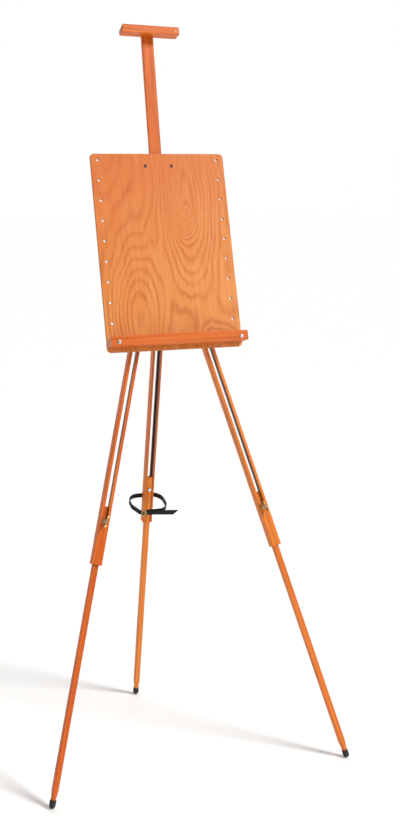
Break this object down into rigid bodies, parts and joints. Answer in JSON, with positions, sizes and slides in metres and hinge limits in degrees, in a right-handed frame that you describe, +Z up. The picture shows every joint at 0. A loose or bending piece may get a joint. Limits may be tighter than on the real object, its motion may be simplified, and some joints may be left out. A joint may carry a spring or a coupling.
{
  "type": "wooden artist easel",
  "caption": "Folding wooden tripod easel: telescopic slotted legs, tilting drilled board with bolted ledge, and a sliding mast with a top bar to clamp a canvas.",
  "frame": {"origin": "on the floor, at the centre of the easel's bounding box in plan", "axes": "+X to the painter's right, -Y towards the painter, +Z up"},
  "size_m": [0.7594, 0.5088, 1.7803],
  "materials": {
    "beech": "satin varnish over orange-brown beech",
    "light_beech": "satin varnish over lighter beech",
    "plywood": "varnished rotary-cut plywood with swirling grain",
    "rubber": "matte black",
    "brass": "polished brass plating",
    "plated_steel": "bright zinc or chrome plating",
    "dark_steel": "dark bronzed screw heads",
    "bracket_steel": "bent steel plate",
    "strap": "black leather"
  },
  "bodies": {
    "head": {"head_block": "beech", "leg_pivot_bolts": "plated_steel", "rear_pivot_bolt": "plated_steel", "tilt_bolt": "plated_steel", "pivot_washers": "plated_steel"},
    "left_pivot_nut": {"left_pivot_wing_nut": "brass"},
    "right_pivot_nut": {"right_pivot_wing_nut": "brass"},
    "rear_pivot_nut": {"rear_pivot_wing_nut": "brass"},
    "tilt_nut": {"tilt_wing_nut": "brass"},
    "front_left_leg": {"front_left_upper_leg": "beech"},
    "front_right_leg": {"front_right_upper_leg": "beech"},
    "rear_leg": {"rear_upper_leg": "beech", "leg_strap": "strap", "strap_buckle": "brass", "strap_screw": "plated_steel"},
    "board": {"board": "plywood", "back_battens": "light_beech", "tilt_brackets": "bracket_steel", "bracket_screws": "plated_steel", "mast_guide": "light_beech", "guide_screws": "dark_steel", "clamp_insert": "brass", "ledge": "light_beech", "ledge_bolts": "plated_steel", "ledge_washers": "plated_steel"},
    "mast": {"mast": "light_beech", "top_bar": "light_beech", "top_bar_screws": "plated_steel", "top_bar_brad": "brass"},
    "clamp_screw": {"mast_clamp_screw": "brass"},
    "ledge_left_nut": {"ledge_left_wing_nut": "brass"},
    "ledge_right_nut": {"ledge_right_wing_nut": "brass"},
    "front_left_extension": {"front_left_lower_leg": "beech", "front_left_foot": "rubber", "front_left_slide_bolt": "plated_steel", "front_left_slide_washer": "plated_steel"},
    "front_left_slide_nut": {"front_left_slide_wing_nut": "brass"},
    "front_right_extension": {"front_right_lower_leg": "beech", "front_right_foot": "rubber", "front_right_slide_bolt": "plated_steel", "front_right_slide_washer": "plated_steel"},
    "front_right_slide_nut": {"front_right_slide_wing_nut": "brass"},
    "rear_extension": {"rear_lower_leg": "beech", "rear_foot": "rubber", "rear_slide_bolt": "plated_steel", "rear_slide_washer": "plated_steel"},
    "rear_slide_nut": {"rear_slide_wing_nut": "brass"}
  },
  "joints": [
    {"name": "front_left_leg_fold", "type": "hinge", "parent": "head", "child": "front_left_leg", "pos_m": [-0.052, 0.03387, 1.15015], "axis": [0, -0.9706, 0.2407], "range_deg": [-8, 15.2]},
    {"name": "front_right_leg_fold", "type": "hinge", "parent": "head", "child": "front_right_leg", "pos_m": [0.052, 0.03387, 1.15015], "axis": [0, 0.9706, -0.2407], "range_deg": [-8, 15.2]},
    {"name": "rear_leg_fold", "type": "hinge", "parent": "head", "child": "rear_leg", "pos_m": [0, 0.06298, 1.17487], "axis": [-1, 0, 0], "range_deg": [-5, 16.5]},
    {"name": "board_tilt", "type": "hinge", "parent": "head", "child": "board", "pos_m": [0, 0.08922, 1.28066], "axis": [-1, 0, 0], "range_deg": [-2.5, 73]},
    {"name": "mast_height", "type": "slide", "parent": "board", "child": "mast", "axis": [0.0279, 0.2889, 0.9569], "range_m": [-0.3, 0.09]},
    {"name": "front_left_leg_height", "type": "slide", "parent": "front_left_leg", "child": "front_left_extension", "axis": [0.2626, 0.2323, 0.9365], "range_m": [0, 0.36]},
    {"name": "front_left_slide_nut_turn", "type": "hinge", "parent": "front_left_extension", "child": "front_left_slide_nut", "pos_m": [-0.20381, -0.11012, 0.61115], "axis": [0, -0.9706, 0.2407], "continuous": true},
    {"name": "front_right_leg_height", "type": "slide", "parent": "front_right_leg", "child": "front_right_extension", "axis": [-0.2626, 0.2323, 0.9365], "range_m": [0, 0.36]},
    {"name": "front_right_slide_nut_turn", "type": "hinge", "parent": "front_right_extension", "child": "front_right_slide_nut", "pos_m": [0.20381, -0.11012, 0.61115], "axis": [0, -0.9706, 0.2407], "continuous": true},
    {"name": "rear_leg_height", "type": "slide", "parent": "rear_leg", "child": "rear_extension", "axis": [0, -0.1578, 0.9875], "range_m": [0, 0.45]},
    {"name": "rear_slide_nut_turn", "type": "hinge", "parent": "rear_extension", "child": "rear_slide_nut", "pos_m": [0, 0.16401, 0.60591], "axis": [0, 0.9875, 0.1578], "continuous": true},
    {"name": "left_pivot_nut_turn", "type": "hinge", "parent": "head", "child": "left_pivot_nut", "pos_m": [-0.052, 0.06716, 1.14189], "axis": [0, 0.9706, -0.2407], "continuous": true},
    {"name": "right_pivot_nut_turn", "type": "hinge", "parent": "head", "child": "right_pivot_nut", "pos_m": [0.052, 0.06716, 1.14189], "axis": [0, 0.9706, -0.2407], "continuous": true},
    {"name": "rear_pivot_nut_turn", "type": "hinge", "parent": "head", "child": "rear_pivot_nut", "pos_m": [0.066, 0.06298, 1.17487], "axis": [1, 0, 0], "continuous": true},
    {"name": "tilt_nut_turn", "type": "hinge", "parent": "head", "child": "tilt_nut", "pos_m": [0.0286, 0.08922, 1.28066], "axis": [1, 0, 0], "continuous": true},
    {"name": "clamp_screw_turn", "type": "hinge", "parent": "board", "child": "clamp_screw", "pos_m": [0, 0.12255, 1.42357], "axis": [0, 0.9573, -0.289], "continuous": true},
    {"name": "ledge_left_nut_turn", "type": "hinge", "parent": "board", "child": "ledge_left_nut", "pos_m": [-0.155, -0.02932, 1.01502], "axis": [0, 0.9573, -0.289], "continuous": true},
    {"name": "ledge_right_nut_turn", "type": "hinge", "parent": "board", "child": "ledge_right_nut", "pos_m": [0.155, -0.02932, 1.01502], "axis": [0, 0.9573, -0.289], "continuous": true}
  ]
}
